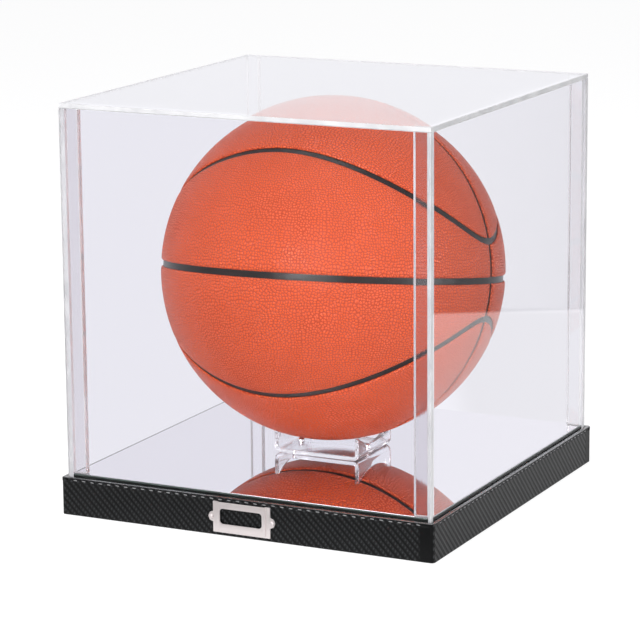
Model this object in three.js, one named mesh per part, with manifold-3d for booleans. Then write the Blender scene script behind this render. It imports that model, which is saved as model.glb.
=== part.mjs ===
// A basketball display case: a wrapped base with a mirror floor, a lift-off clear cover,
// a bent clear cradle, and the ball that stands on it.
// Millimetres, +Z up, origin at the centre of the underside, the label holder faces -Y.
import * as THREE from "three";
import { mergeVertices } from "three/addons/utils/BufferGeometryUtils.js";
import Module from "manifold-3d";

const wasm = await Module();
wasm.setup();

// Driving dimensions: the ball and the room round it
const ballDiameter = 241;
const ballSideClearance = 14.7;
const ballHeadroom = 5.7;
const ballTiltDeg = 9;
const ballRollDeg = 1;

// Driving dimensions: the clear cover
const wallThickness = 3;
const lidThickness = 3;
const cornerRodWidth = 10; // along the front and back walls
const cornerRodDepth = 5; // along the side walls
const edgeChamfer = 0.3;
const wallClearance = 0.4; // between a wall and each side of its groove

// Driving dimensions: the base
const baseHeight = 27;
const baseCornerRadius = 2.5;
const grooveDepth = 3;
const lipThickness = 1.4;
const wrapThickness = 0.8;
const wrapTurnUnder = 12;
const wrapEdgeRadius = 0.7;
const hemDrop = 2.6;
const hemProud = 0.2;
const feltThickness = 1.2;
const feltProud = 0.3;
const bottomBoardThickness = 3;
const platformThickness = 9;
const mirrorThickness = 3;
const mirrorProud = 2; // the mirror's face above the rim
const railFootWidth = 20;

// Driving dimensions: the cradle and its screws
const cradleWidth = 66.4;
const cradleDepth = 54;
const cradleSheet = 3;
const cradleHeight = 16.1;
const cradleBendRadius = 1.5;
const cradleTipLength = 1.5;
const cradleArcSag = 7.5;
const screwInset = 4.7; // from a flange's inner face to the middle of a screw
const screwShank = 2.9;
const screwHead = 5.6;
const screwHeadHeight = 2.2;
const screwLength = 12;
const screwPoint = 3;
const recessWidth = 0.8;
const recessSpan = 3.2;
const recessDepth = 1.1;

// Driving dimensions: the label holder and its pins
const holderWidth = 43.4;
const holderHeight = 21.6;
const holderRise = 2.5; // its lower edge above the underside
const holderSheet = 0.7;
const holderStandOff = 1.3; // the raised frame's face in front of the flange's
const holderFlange = 3.2;
const holderWindowWidth = 32;
const holderWindowHeight = 10.8;
const holderWindowRadius = 2.4;
const holderWindowRise = 6.4;
const holderCornerRadius = 0.5;
const earRadius = 3.7;
const pinShank = 1.3;
const pinHead = 3.4;
const pinHeadHeight = 1.1;
const pinLength = 6;

// Driving dimensions: the ball's layers and seams
const leatherThickness = 1.5;
const layerGap = 0.8; // leaves room for the flats of two faceted shells
const carcassThickness = 1.4;
const bladderThickness = 0.8;
const bladderGap = 1.4;
const seamWidth = 4.6;
const seamLowLatitudeDeg = 13;
const seamLatitudeRiseDeg = 31.5;
const seamBlendShare = 0.21;
const valveRadius = 2.2;
const valveFlangeRadius = 5;
const valveFlangeThickness = 1.6;
const valveDepth = 9;

// Clearances and shared modelling values
const glueGap = 0.2;
const seatGap = 0.3;
const runGap = 0.3;
const overrun = 2; // how far a cutting body reaches past what it cuts
const roundSteps = 4; // facets in each quarter of a small round
const screwFacets = 24;
const pinFacets = 16;
const valveFacets = 12;
const scoopFacets = 96;
const carcassFacets = 30;
const bladderFacets = 20;
const panelColumns = 22;
const panelRows = 5;
const capEndShare = 1.4; // where a cap's blunt ends lie, in half widths of the seam
const slopeStep = 1e-4; // radians each way when the slope of a seam is measured
const halvings = 40; // to find where a falling function crosses zero
const insetPasses = 4; // to settle a panel's ends against the upright seam

// Worked-out places
const ballRadius = ballDiameter / 2;
const coverInner = ballDiameter + 2 * ballSideClearance;
const coverOuter = coverInner + 2 * wallThickness;
const rimWidth = 2 * wrapThickness + 2 * glueGap + lipThickness;
const baseWidth = coverOuter + 2 * (wallClearance + rimWidth);
const mirrorWidth = coverInner - 2 * wallClearance;
const wrapBottom = feltProud;
const boardBottom = wrapBottom + wrapThickness + glueGap;
const railBottom = boardBottom + bottomBoardThickness + glueGap;
const mirrorTop = baseHeight + mirrorProud;
const mirrorBottom = mirrorTop - mirrorThickness;
const platformTop = mirrorBottom - glueGap;
const platformBottom = platformTop - platformThickness;
const grooveFloor = baseHeight - grooveDepth;
const railFace = wrapThickness + glueGap;
const wrapFace = baseWidth / 2 - hemProud; // the wrap's outer face below its hem
const cradleBottom = mirrorTop + glueGap;
const cradleWebTop = cradleBottom + cradleSheet;
const cradleTop = cradleBottom + cradleHeight;
const cradleInner = cradleWidth / 2 - cradleSheet;
const contactReach = Math.hypot(cradleInner, cradleDepth / 2 - cradleTipLength);
const ballCentre = cradleTop + seatGap + Math.sqrt(ballRadius ** 2 - contactReach ** 2);
const lidBottom = ballCentre + ballRadius + ballHeadroom;
const wallBottom = grooveFloor + seatGap;
const wallTop = lidBottom - glueGap;
const earHeight = holderRise + holderHeight / 2;
const pinPlace = holderWidth / 2 + earRadius - pinHead / 2 - holderCornerRadius;
const pinPlaces = [-pinPlace, pinPlace];

// Colours and finishes
function finish(color, roughness, metalness = 0, opacity = 1) {
  const transparent = opacity < 1;
  return new THREE.MeshStandardMaterial({ color, roughness, metalness, opacity, transparent });
}
const finishes = {
  clear: finish(0xeef0f4, 0.05, 0, 0.25),
  mirror: finish(0xd9dbe0, 0.04, 1),
  leatherette: finish(0x1f2124, 0.45),
  board: finish(0x9b7a55, 0.85),
  felt: finish(0x17181a, 0.95),
  nickel: finish(0xd8d2cf, 0.3, 1),
  steel: finish(0xc4c6c8, 0.25, 1),
  leather: finish(0xc8552f, 0.55),
  rubber: finish(0x2a2624, 0.7),
};

// Turns a geometry into a solid for joining and cutting.
function toSolid(geometry) {
  const plain = geometry.index ? geometry.clone() : geometry;
  plain.deleteAttribute("normal");
  plain.deleteAttribute("uv");
  const merged = mergeVertices(plain);
  const triVerts = new Uint32Array(merged.index.array);
  const vertProperties = merged.attributes.position.array;
  return new wasm.Manifold(new wasm.Mesh({ numProp: 3, vertProperties, triVerts }));
}

function toGeometry(solid) {
  const mesh = solid.getMesh();
  const geometry = new THREE.BufferGeometry();
  geometry.setAttribute("position", new THREE.BufferAttribute(mesh.vertProperties, mesh.numProp));
  geometry.setIndex(new THREE.BufferAttribute(mesh.triVerts, 1));
  return geometry;
}

function cut(body, ...tools) {
  return toGeometry(tools.reduce((solid, tool) => solid.subtract(toSolid(tool)), toSolid(body)));
}

function join(...bodies) {
  return toGeometry(bodies.map(toSolid).reduce((solid, other) => solid.add(other)));
}

function meshOf(name, geometry, material) {
  const mesh = new THREE.Mesh(geometry, material);
  mesh.name = name;
  return mesh;
}

// A block between two corners whose edges along Z and at both ends are chamfered.
function block(low, high, chamfer = 0) {
  const [width, depth, height] = high.map((value, axis) => value - low[axis]);
  if (!chamfer) {
    const plain = new THREE.BoxGeometry(width, depth, height);
    return plain.translate(low[0] + width / 2, low[1] + depth / 2, low[2] + height / 2);
  }
  const [w, d] = [width / 2 - chamfer, depth / 2 - chamfer];
  const outline = new THREE.Shape();
  outline.moveTo(-w, -d);
  [[w, -d], [w, d], [-w, d]].forEach(([x, y]) => outline.lineTo(x, y));
  const solid = new THREE.ExtrudeGeometry(outline, {
    depth: height - 2 * chamfer,
    bevelThickness: chamfer,
    bevelSize: chamfer,
    bevelSegments: 1,
  });
  return solid.translate(low[0] + width / 2, low[1] + depth / 2, low[2] + chamfer);
}

// A round rod along +Z from the origin.
function rod(radius, length, facets) {
  const solid = new THREE.CylinderGeometry(radius, radius, length, facets);
  return solid.rotateX(Math.PI / 2).translate(0, 0, length / 2);
}

// The solid turned about +Z from a list of [radius, height] points, lowest first.
function turned(points, facets) {
  const profile = points.map(([r, z]) => new THREE.Vector2(r, z));
  return new THREE.LatheGeometry(profile, facets).rotateX(Math.PI / 2);
}

function arcPoints(centreA, centreB, radius, fromDeg, toDeg, steps) {
  return Array.from({ length: steps + 1 }, (_, i) => {
    const angle = THREE.MathUtils.degToRad(fromDeg + ((toDeg - fromDeg) * i) / steps);
    return [centreA + radius * Math.cos(angle), centreB + radius * Math.sin(angle)];
  });
}

// A closed solid from rings of points, each ring a closed outline with the same count.
function solidFromRings(rings) {
  const count = rings[0].length;
  const positions = rings.flat(2);
  const faces = [];
  rings.slice(1).forEach((_, k) => {
    for (let i = 0; i < count; i++) {
      const j = (i + 1) % count;
      const [a, b, c, d] = [k * count + i, k * count + j, (k + 1) * count + j, (k + 1) * count + i];
      faces.push(a, b, c, a, c, d);
    }
  });
  return { positions, faces, last: (rings.length - 1) * count };
}

// One side of a mitred frame, seen along the front. The profile lists [inset, height] points,
// with the inset measured inwards from the frame's outer face.
function frameSide(profile, outer, cornerRadius) {
  const half = outer / 2;
  const turns = Array.from({ length: roundSteps }, (_, i) => i / (roundSteps - 1));
  const stations = [-1, 1].flatMap((side) => {
    const ordered = side < 0 ? turns.toReversed() : turns;
    return ordered.map((turn) => ({ side, angle: (turn * Math.PI) / 4 }));
  });
  const rings = stations.map(({ side, angle }) =>
    profile.map(([inset, height]) => {
      const radius = Math.max(cornerRadius - inset, glueGap);
      const centre = half - inset - radius;
      const along = centre + radius * Math.sin(angle) - glueGap / 2;
      return [side * along, -(centre + radius * Math.cos(angle)), height];
    }),
  );
  const { positions, faces, last } = solidFromRings(rings);
  const outline = profile.map(([inset, height]) => new THREE.Vector2(inset, height));
  THREE.ShapeUtils.triangulateShape(outline, []).forEach(([a, b, c]) => {
    faces.push(a, c, b, last + a, last + b, last + c);
  });
  const geometry = new THREE.BufferGeometry();
  geometry.setAttribute("position", new THREE.Float32BufferAttribute(positions, 3));
  geometry.setIndex(faces);
  return geometry;
}

// Four copies of one frame side, turned to the four sides of the case.
function onEachSide(prefix, geometry, material) {
  return ["front", "right", "back", "left"].map((side, quarter) => {
    const piece = geometry.clone().rotateZ((quarter * Math.PI) / 2);
    return meshOf(`${prefix}_${side}`, piece, material);
  });
}

// Base

function makeRails() {
  const lipTop = baseHeight - wrapThickness - glueGap;
  const neck = rimWidth + 2 * wallClearance + wallThickness - glueGap;
  const profile = [
    [railFace, railBottom],
    [railFootWidth, railBottom],
    [railFootWidth, platformBottom - glueGap],
    [neck, platformBottom - glueGap],
    [neck, grooveFloor],
    [railFace + lipThickness, grooveFloor],
    [railFace + lipThickness, lipTop],
    [railFace, lipTop],
  ];
  return onEachSide("rail", frameSide(profile, baseWidth, baseCornerRadius), finishes.board);
}

function makeWraps() {
  const lipBack = railFace + lipThickness + glueGap;
  const crown = baseHeight - wrapThickness;
  const hemTop = baseHeight - wrapEdgeRadius;
  const foldFront = arcPoints(wrapEdgeRadius, hemTop, wrapEdgeRadius, 90, 180, roundSteps);
  const foldBack = arcPoints(rimWidth - wrapEdgeRadius, hemTop, wrapEdgeRadius, 0, 90, roundSteps);
  const profile = [
    [hemProud, wrapBottom],
    [wrapTurnUnder, wrapBottom],
    [wrapTurnUnder, wrapBottom + wrapThickness],
    [wrapThickness, wrapBottom + wrapThickness],
    [wrapThickness, crown],
    [lipBack, crown],
    [lipBack, grooveFloor + glueGap],
    [rimWidth, grooveFloor + glueGap],
    ...foldBack,
    ...foldFront,
    [0, baseHeight - hemDrop],
    [hemProud, baseHeight - hemDrop - hemProud],
  ];
  return onEachSide("wrap", frameSide(profile, baseWidth, baseCornerRadius), finishes.leatherette);
}

const screwPlaces = [screwInset - cradleInner, cradleInner - screwInset];

function screwHoles(bottom, top) {
  const length = top - bottom;
  const radius = screwShank / 2 + runGap;
  return screwPlaces.map((x) => rod(radius, length, screwFacets).translate(x, 0, bottom));
}

function squareBoard(width, bottom, top, chamfer) {
  return block([-width / 2, -width / 2, bottom], [width / 2, width / 2, top], chamfer);
}

function makeBoards() {
  const boardHalf = baseWidth / 2 - railFace;
  const feltWidth = baseWidth - 2 * (wrapTurnUnder + seatGap);
  const boardCorner = Math.max(baseCornerRadius - railFace, glueGap);
  const boardOutline = roundedRectangle(-boardHalf, -boardHalf, boardHalf, boardHalf, boardCorner);
  const bottom = new THREE.ExtrudeGeometry(boardOutline, {
    depth: bottomBoardThickness,
    bevelEnabled: false,
    curveSegments: roundSteps,
  }).translate(0, 0, boardBottom);
  const platform = squareBoard(mirrorWidth, platformBottom, platformTop);
  const pilotBottom = cradleWebTop - screwLength - runGap;
  const pilots = screwHoles(pilotBottom, platformTop + overrun);
  const mirror = squareBoard(mirrorWidth, mirrorBottom, mirrorTop, edgeChamfer);
  const mirrorHoles = screwHoles(mirrorBottom - overrun, mirrorTop + overrun);
  return [
    meshOf("felt_pad", squareBoard(feltWidth, 0, feltThickness - glueGap), finishes.felt),
    meshOf("bottom_board", bottom, finishes.board),
    meshOf("platform_board", cut(platform, ...pilots), finishes.board),
    meshOf("mirror_plate", cut(mirror, ...mirrorHoles), finishes.mirror),
  ];
}

// The rounded top of a screw's or pin's head, from its rim to its middle.
function crownPoints(radius, height) {
  return arcPoints(0, 0, 1, 0, 90, roundSteps).map(([a, b]) => [a * radius, b * height]);
}

// A roundhead screw with a crossed recess, standing with its seat at height 0.
function screwGeometry() {
  const shank = screwShank / 2;
  const crown = crownPoints(screwHead / 2, screwHeadHeight);
  const tip = [0, -screwLength];
  const body = turned([tip, [shank, screwPoint - screwLength], [shank, 0], ...crown], screwFacets);
  const slot = [recessSpan / 2, recessWidth / 2];
  const floor = screwHeadHeight - recessDepth;
  const top = screwHeadHeight + overrun;
  const long = block([-slot[0], -slot[1], floor], [slot[0], slot[1], top]);
  const cross = block([-slot[1], -slot[0], floor], [slot[1], slot[0], top]);
  return cut(body, long, cross);
}

function makeCradle() {
  const half = cradleWidth / 2;
  const bend = cradleBendRadius + cradleSheet;
  const shape = new THREE.Shape();
  const inner = cradleBendRadius;
  const outside = [
    ...arcPoints(half - bend, bend, bend, -90, 0, roundSteps),
    [half, cradleHeight],
    [cradleInner, cradleHeight],
    ...arcPoints(cradleInner - inner, cradleSheet + inner, inner, 0, -90, roundSteps),
  ];
  const mirrored = outside.map(([x, z]) => [-x, z]).reverse();
  const outline = [...outside, ...mirrored];
  shape.moveTo(...outline[0]);
  outline.slice(1).forEach((point) => shape.lineTo(...point));
  const sheet = new THREE.ExtrudeGeometry(shape, { depth: cradleDepth, bevelEnabled: false });
  sheet.rotateX(Math.PI / 2).translate(0, cradleDepth / 2, cradleBottom);
  const halfChord = cradleDepth / 2 - cradleTipLength;
  const arcRadius = (halfChord ** 2 + cradleArcSag ** 2) / (2 * cradleArcSag);
  const scoopLength = cradleWidth + overrun;
  const scoop = new THREE.CylinderGeometry(arcRadius, arcRadius, scoopLength, scoopFacets);
  scoop.rotateZ(Math.PI / 2).translate(0, 0, cradleTop - cradleArcSag + arcRadius);
  const holes = screwHoles(cradleBottom - overrun, cradleWebTop + overrun);
  const screw = screwGeometry().translate(0, 0, cradleWebTop + glueGap);
  return [
    meshOf("cradle", cut(sheet, scoop, ...holes), finishes.clear),
    ...["left", "right"].map((side, i) =>
      meshOf(`cradle_screw_${side}`, screw.clone().translate(screwPlaces[i], 0, 0), finishes.steel),
    ),
  ];
}

// A plate standing on the front face, from its outline in X and height, between two depths
// measured outwards from the wrap.
function frontPlate(outline, from, to) {
  const plate = new THREE.ExtrudeGeometry(outline, {
    depth: to - from,
    bevelEnabled: false,
    curveSegments: roundSteps,
  });
  return plate.rotateX(Math.PI / 2).translate(0, -wrapFace - from, 0);
}

function roundedRectangle(x0, z0, x1, z1, radius) {
  const shape = new THREE.Shape();
  shape.moveTo(x0 + radius, z0);
  shape.lineTo(x1 - radius, z0);
  shape.absarc(x1 - radius, z0 + radius, radius, -Math.PI / 2, 0);
  shape.lineTo(x1, z1 - radius);
  shape.absarc(x1 - radius, z1 - radius, radius, 0, Math.PI / 2);
  shape.lineTo(x0 + radius, z1);
  shape.absarc(x0 + radius, z1 - radius, radius, Math.PI / 2, Math.PI);
  shape.lineTo(x0, z0 + radius);
  shape.absarc(x0 + radius, z0 + radius, radius, Math.PI, 1.5 * Math.PI);
  return shape;
}

// A round outline on an ear of the label holder, at a place along X.
function earCircle(x, radius) {
  const circle = new THREE.Shape();
  return circle.absarc(x, earHeight, radius, 0, 2 * Math.PI);
}

function makeLabelHolder() {
  const half = holderWidth / 2;
  const top = holderRise + holderHeight;
  const back = glueGap;
  const flangeFace = back + holderSheet;
  const raisedFace = flangeFace + holderStandOff;
  const flange = roundedRectangle(-half, holderRise, half, top, holderCornerRadius);
  const ears = [-half, half].map((x) => frontPlate(earCircle(x, earRadius), back, flangeFace));
  const raisedHalf = half - holderFlange;
  const raisedBottom = holderRise + holderFlange / 2;
  const raised = roundedRectangle(-raisedHalf, raisedBottom, raisedHalf, top, holderCornerRadius);
  const body = join(
    frontPlate(flange, back, flangeFace),
    ...ears,
    frontPlate(raised, back, raisedFace),
  );
  const slotHalf = raisedHalf - holderSheet;
  const slotFloor = raisedBottom + holderSheet;
  const slot = roundedRectangle(-slotHalf, slotFloor, slotHalf, top + overrun, holderCornerRadius);
  const windowHalf = holderWindowWidth / 2;
  const windowBottom = holderRise + holderWindowRise;
  const windowTop = windowBottom + holderWindowHeight;
  const view = roundedRectangle(-windowHalf, windowBottom, windowHalf, windowTop, holderWindowRadius);
  const pinHoles = pinPlaces.map((x) =>
    frontPlate(earCircle(x, pinShank / 2 + runGap), back - overrun, flangeFace + overrun),
  );
  const holder = cut(
    body,
    frontPlate(slot, back - overrun, raisedFace - holderSheet),
    frontPlate(view, back - overrun, raisedFace + overrun),
    ...pinHoles,
  );
  return meshOf("label_holder", holder, finishes.nickel);
}

function makePins() {
  const shank = pinShank / 2;
  const crown = crownPoints(pinHead / 2, pinHeadHeight);
  const tip = [0, -pinLength];
  const pin = turned([tip, [shank, shank - pinLength], [shank, 0], ...crown], pinFacets);
  pin.rotateX(Math.PI / 2);
  const face = -wrapFace - 2 * glueGap - holderSheet;
  return ["left", "right"].map((side, i) =>
    meshOf(`label_pin_${side}`, pin.clone().translate(pinPlaces[i], face, earHeight), finishes.nickel),
  );
}

// The pins pass through the front wrap and into the front rail.
function drillFront(meshes) {
  meshes.forEach((mesh) => {
    if (!mesh.name.endsWith("_front")) return;
    const holes = pinPlaces.map((x) => {
      const hole = rod(pinShank / 2 + runGap, pinLength + overrun, pinFacets);
      return hole.rotateX(-Math.PI / 2).translate(x, -wrapFace - overrun, earHeight);
    });
    mesh.geometry = cut(mesh.geometry, ...holes);
  });
  return meshes;
}

// Cover

function makeCover() {
  const outer = coverOuter / 2;
  const inner = coverInner / 2;
  const sideReach = inner - glueGap;
  const wall = (low, high) => block([...low, wallBottom], [...high, wallTop], edgeChamfer);
  const panels = {
    cover_front: wall([-outer, -outer], [outer, -inner]),
    cover_back: wall([-outer, inner], [outer, outer]),
    cover_left: wall([-outer, -sideReach], [-inner, sideReach]),
    cover_right: wall([inner, -sideReach], [outer, sideReach]),
    cover_lid: squareBoard(coverOuter, lidBottom, lidBottom + lidThickness, edgeChamfer),
  };
  const far = inner - glueGap;
  const rodBottom = mirrorTop + seatGap;
  Object.entries({ front: -far, back: far - cornerRodDepth }).forEach(([ySide, y]) => {
    Object.entries({ left: -far, right: far - cornerRodWidth }).forEach(([xSide, x]) => {
      const high = [x + cornerRodWidth, y + cornerRodDepth, wallTop];
      panels[`corner_rod_${ySide}_${xSide}`] = block([x, y, rodBottom], high, edgeChamfer);
    });
  });
  return Object.entries(panels).map(([name, geometry]) => meshOf(name, geometry, finishes.clear));
}

// Ball, in its own frame: two great seams, level (Z = 0) and upright (Y = 0), and two
// curved seams round the Z poles. The valve stands on the +Y side.

const halfSeamAngle = seamWidth / 2 / ballRadius;

function curvedSeamLatitude(longitude) {
  const low = THREE.MathUtils.degToRad(seamLowLatitudeDeg);
  const rise = THREE.MathUtils.degToRad(seamLatitudeRiseDeg);
  const blend = (sine) => Math.hypot(sine, seamBlendShare) - seamBlendShare;
  return low + (rise * blend(Math.sin(longitude))) / blend(1);
}

function direction(latitude, longitude) {
  const across = Math.cos(latitude);
  return [across * Math.cos(longitude), across * Math.sin(longitude), Math.sin(latitude)];
}

// The angle from a direction to the curved seam, positive on the pole's side.
function seamDistance([x, y, z]) {
  const latitude = Math.asin(z);
  const longitude = Math.atan2(y, x);
  const climb = curvedSeamLatitude(longitude + slopeStep) - curvedSeamLatitude(longitude - slopeStep);
  const slope = climb / (2 * slopeStep);
  return (latitude - curvedSeamLatitude(longitude)) / Math.hypot(1, slope / Math.cos(latitude));
}

// The value between low and high where a falling function crosses zero.
function crossing(low, high, falling) {
  for (let i = 0; i < halvings; i++) {
    const middle = (low + high) / 2;
    if (falling(middle) > 0) low = middle;
    else high = middle;
  }
  return (low + high) / 2;
}

// The panel between the level seam and a curved seam, as a grid of directions.
function bandDirections(columns, rows) {
  const row = (share) => {
    const reach = Array.from({ length: columns + 1 }, (_, i) => i / columns);
    return reach.map((along) => {
      let longitude = Math.PI * along;
      let latitude = 0;
      for (let pass = 0; pass < insetPasses; pass++) {
        const room = (value) => -seamDistance(direction(value, longitude)) - halfSeamAngle;
        const edge = crossing(0, Math.PI / 2, room);
        latitude = halfSeamAngle + (edge - halfSeamAngle) * share;
        const inset = Math.asin(Math.sin(halfSeamAngle) / Math.cos(latitude));
        longitude = inset + (Math.PI - 2 * inset) * along;
      }
      return direction(latitude, longitude);
    });
  };
  return Array.from({ length: rows + 1 }, (_, j) => row(j / rows));
}

// The panel between the upright seam and a curved seam, as a grid of directions.
function capDirections(columns, rows) {
  const place = (swing, rise) => [
    Math.cos(rise) * Math.sin(swing),
    Math.sin(rise),
    Math.cos(rise) * Math.cos(swing),
  ];
  const room = (swing, rise) => seamDistance(place(swing, rise)) - halfSeamAngle;
  const endRise = capEndShare * halfSeamAngle;
  const reach = crossing(0, Math.PI / 2, (swing) => room(swing, endRise));
  const turns = Array.from({ length: columns + 1 }, (_, i) => Math.PI * (i / columns - 0.5));
  const swings = turns.map((turn) => reach * Math.sin(turn));
  const rises = swings.map((swing) =>
    crossing(halfSeamAngle, Math.PI / 2, (rise) => room(swing, rise)),
  );
  return Array.from({ length: rows + 1 }, (_, j) =>
    swings.map((swing, i) => place(swing, halfSeamAngle + ((rises[i] - halfSeamAngle) * j) / rows)),
  );
}

// A leather panel: a grid of directions, given an outer and an inner face.
function panelGeometry(grid, flipY, flipZ) {
  const rows = grid.length;
  const columns = grid[0].length;
  const innerRadius = ballRadius - leatherThickness;
  const positions = [ballRadius, innerRadius].flatMap((radius) =>
    grid.flat().flatMap(([x, y, z]) => [x * radius, y * flipY * radius, z * flipZ * radius]),
  );
  const faces = [];
  const inward = rows * columns;
  const at = (j, i) => j * columns + i;
  for (let j = 0; j < rows - 1; j++) {
    for (let i = 0; i < columns - 1; i++) {
      const [a, b, c, d] = [at(j, i), at(j, i + 1), at(j + 1, i + 1), at(j + 1, i)];
      const [e, f, g, h] = [a, b, c, d].map((index) => inward + index);
      faces.push([a, b, c], [a, c, d], [e, g, f], [e, h, g]);
    }
  }
  const rim = [];
  for (let i = 0; i < columns - 1; i++) rim.push(at(0, i));
  for (let j = 0; j < rows - 1; j++) rim.push(at(j, columns - 1));
  for (let i = columns - 1; i > 0; i--) rim.push(at(rows - 1, i));
  for (let j = rows - 1; j > 0; j--) rim.push(at(j, 0));
  rim.forEach((a, k) => {
    const b = rim[(k + 1) % rim.length];
    faces.push([b, a, inward + a], [b, inward + a, inward + b]);
  });
  const [p, q, r] = faces[0].map((index) => new THREE.Vector3().fromArray(positions, 3 * index));
  const outwards = q.clone().sub(p).cross(r.clone().sub(p)).dot(p) > 0;
  const geometry = new THREE.BufferGeometry();
  geometry.setAttribute("position", new THREE.Float32BufferAttribute(positions, 3));
  geometry.setIndex(faces.flatMap(([a, b, c]) => (outwards ? [a, b, c] : [a, c, b])));
  return geometry;
}

// A hollow ball with a round hole at its +Y pole for the valve.
function hollowBall(outerRadius, thickness, facets) {
  const steps = facets / 2 + 1;
  const innerRadius = outerRadius - thickness;
  const holeRadius = valveRadius + runGap;
  const arc = (radius) => {
    const startDeg = 90 - THREE.MathUtils.radToDeg(Math.asin(holeRadius / radius));
    return arcPoints(0, 0, radius, startDeg, -90, steps).map(([r, z]) => [Math.max(r, 0), z]);
  };
  const profile = [...arc(innerRadius), ...arc(outerRadius).reverse()];
  profile.push(profile[0]);
  const points = profile.map(([r, y]) => new THREE.Vector2(r < glueGap ? 0 : r, y));
  return toGeometry(toSolid(new THREE.LatheGeometry(points, facets)));
}

function makeBall() {
  const carcassRadius = ballRadius - leatherThickness - layerGap;
  const bladderRadius = carcassRadius - carcassThickness - bladderGap;
  const grids = {
    band: bandDirections(panelColumns, panelRows),
    cap: capDirections(panelColumns - 2, panelRows),
  };
  const ball = new THREE.Group();
  ball.position.set(0, 0, ballCentre);
  ball.rotation.set(THREE.MathUtils.degToRad(-ballTiltDeg), THREE.MathUtils.degToRad(-ballRollDeg), 0);
  const quarters = [["upper", "back", 1, 1], ["upper", "front", -1, 1]];
  quarters.push(["lower", "back", 1, -1], ["lower", "front", -1, -1]);
  quarters.forEach(([level, side, flipY, flipZ]) => {
    Object.entries(grids).forEach(([kind, grid]) => {
      const panel = panelGeometry(grid, flipY, flipZ);
      ball.add(meshOf(`panel_${level}_${kind}_${side}`, panel, finishes.leather));
    });
  });
  const carcass = hollowBall(carcassRadius, carcassThickness, carcassFacets);
  const bladder = hollowBall(bladderRadius, bladderThickness, bladderFacets);
  ball.add(meshOf("ball_carcass", carcass, finishes.rubber));
  ball.add(meshOf("ball_bladder", bladder, finishes.rubber));
  const valveFloor = bladderRadius - bladderThickness - valveFlangeThickness - layerGap;
  const valve = turned(
    [
      [0, carcassRadius - valveDepth],
      [valveRadius, carcassRadius - valveDepth],
      [valveRadius, valveFloor],
      [valveFlangeRadius, valveFloor],
      [valveFlangeRadius, valveFloor + valveFlangeThickness],
      [valveRadius, valveFloor + valveFlangeThickness],
      [valveRadius, carcassRadius],
      [0, carcassRadius],
    ],
    valveFacets,
  );
  ball.add(meshOf("ball_valve", valve.rotateX(-Math.PI / 2), finishes.rubber));
  return ball;
}

const displayCase = new THREE.Group();
displayCase.add(...drillFront([...makeRails(), ...makeWraps()]));
displayCase.add(...makeBoards());
displayCase.add(...makeCradle());
displayCase.add(makeLabelHolder(), ...makePins());
displayCase.add(...makeCover());
displayCase.add(makeBall());

export default displayCase;
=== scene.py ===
# The looks of a basketball display case: clear cover, mirror floor, leatherette base and the ball.
# Sizes are in millimetres and become metres where a mesh is made.
import math

import bmesh
import bpy
from mathutils import Matrix, Vector


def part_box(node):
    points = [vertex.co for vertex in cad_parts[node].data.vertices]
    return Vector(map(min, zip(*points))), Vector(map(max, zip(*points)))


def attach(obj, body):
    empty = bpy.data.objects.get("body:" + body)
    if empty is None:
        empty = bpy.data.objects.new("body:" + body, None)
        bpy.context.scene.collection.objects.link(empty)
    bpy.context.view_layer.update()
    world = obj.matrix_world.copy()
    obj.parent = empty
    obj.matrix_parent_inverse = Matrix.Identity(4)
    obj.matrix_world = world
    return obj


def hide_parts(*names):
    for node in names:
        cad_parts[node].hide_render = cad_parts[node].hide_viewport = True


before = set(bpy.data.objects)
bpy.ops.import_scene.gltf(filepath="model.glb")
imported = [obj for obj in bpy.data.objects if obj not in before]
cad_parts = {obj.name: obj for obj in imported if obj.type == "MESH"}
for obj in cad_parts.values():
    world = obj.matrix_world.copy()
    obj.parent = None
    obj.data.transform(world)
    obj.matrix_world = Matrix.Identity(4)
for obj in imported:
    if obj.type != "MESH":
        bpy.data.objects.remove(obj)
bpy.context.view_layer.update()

MM = 0.001
DOME_STEPS = 10

# The ball, its panels and its seams
BALL_RADIUS = 120.5
BALL_CENTRE = 159.43
BALL_TILT_DEG = -9
BALL_ROLL_DEG = -1
LEATHER_THICKNESS = 1.5
BAND_GRID = (72, 18)  # columns and rows of a panel's mesh
CAP_GRID = (64, 18)
SEAM_HALF_WIDTH = 2.3
EDGE_ROLL = 2.4  # how far in from a panel's edge the leather starts to roll down
EDGE_DROP = 1.05
SEAM_LOW_LATITUDE_DEG = 13
SEAM_LATITUDE_RISE_DEG = 31.5
SEAM_BLEND = 0.21
CAP_END_SHARE = 1.4
SEAM_FLOOR = 118.93  # radius of the rubber that shows in the seams
CARCASS_WALL = 2.1
VALVE_RADIUS = 2.2
VALVE_LENGTH = 9.0
VALVE_PROUD = 0.25  # its top above the floor of the seam
VALVE_LIP = 0.35
VALVE_HOLE = 0.75
VALVE_CLEARANCE = 0.15
PEBBLE = 2.05  # the leather's grain, from pebble to pebble

# The base
BASE_HALF = 142.0
GROOVE_SHADE_FROM = 132.0  # the rails are painted black outside this, a painted shade where they show in the groove
GROOVE_SHADE_ABOVE = 20.0
TWILL_CELL = 1.77
CORNER_FOLD = (130.5, 132.5)  # where the weave gives way to the plain fold
STITCH_PITCH = 6.7
STITCH_MARGIN = 9.0  # from the last stitch to the corner
STITCH_LENGTH = 3.6
STITCH_HEIGHT = 25.35
STITCH_RADIUS = 0.42
STITCH_LEAN_DEG = -5
STITCH_SEGMENTS = 8
STITCH_FACETS = 8
TROUGH_RADIUS = 1.2  # the hem dips where it is sewn
TROUGH_DEPTH = 0.3
TROUGH_REACH = 138
TROUGH_FACETS = 24
MIRROR_LIT_EDGE = 27.7  # the upper part of the mirror's edge is paler
HOLDER_EDGE = 0.22  # softened edges of the card frame
PIN_HEAD_RADIUS = 1.7
PIN_HEAD_HEIGHT = 1.1
PIN_SHANK_RADIUS = 0.65

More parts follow.
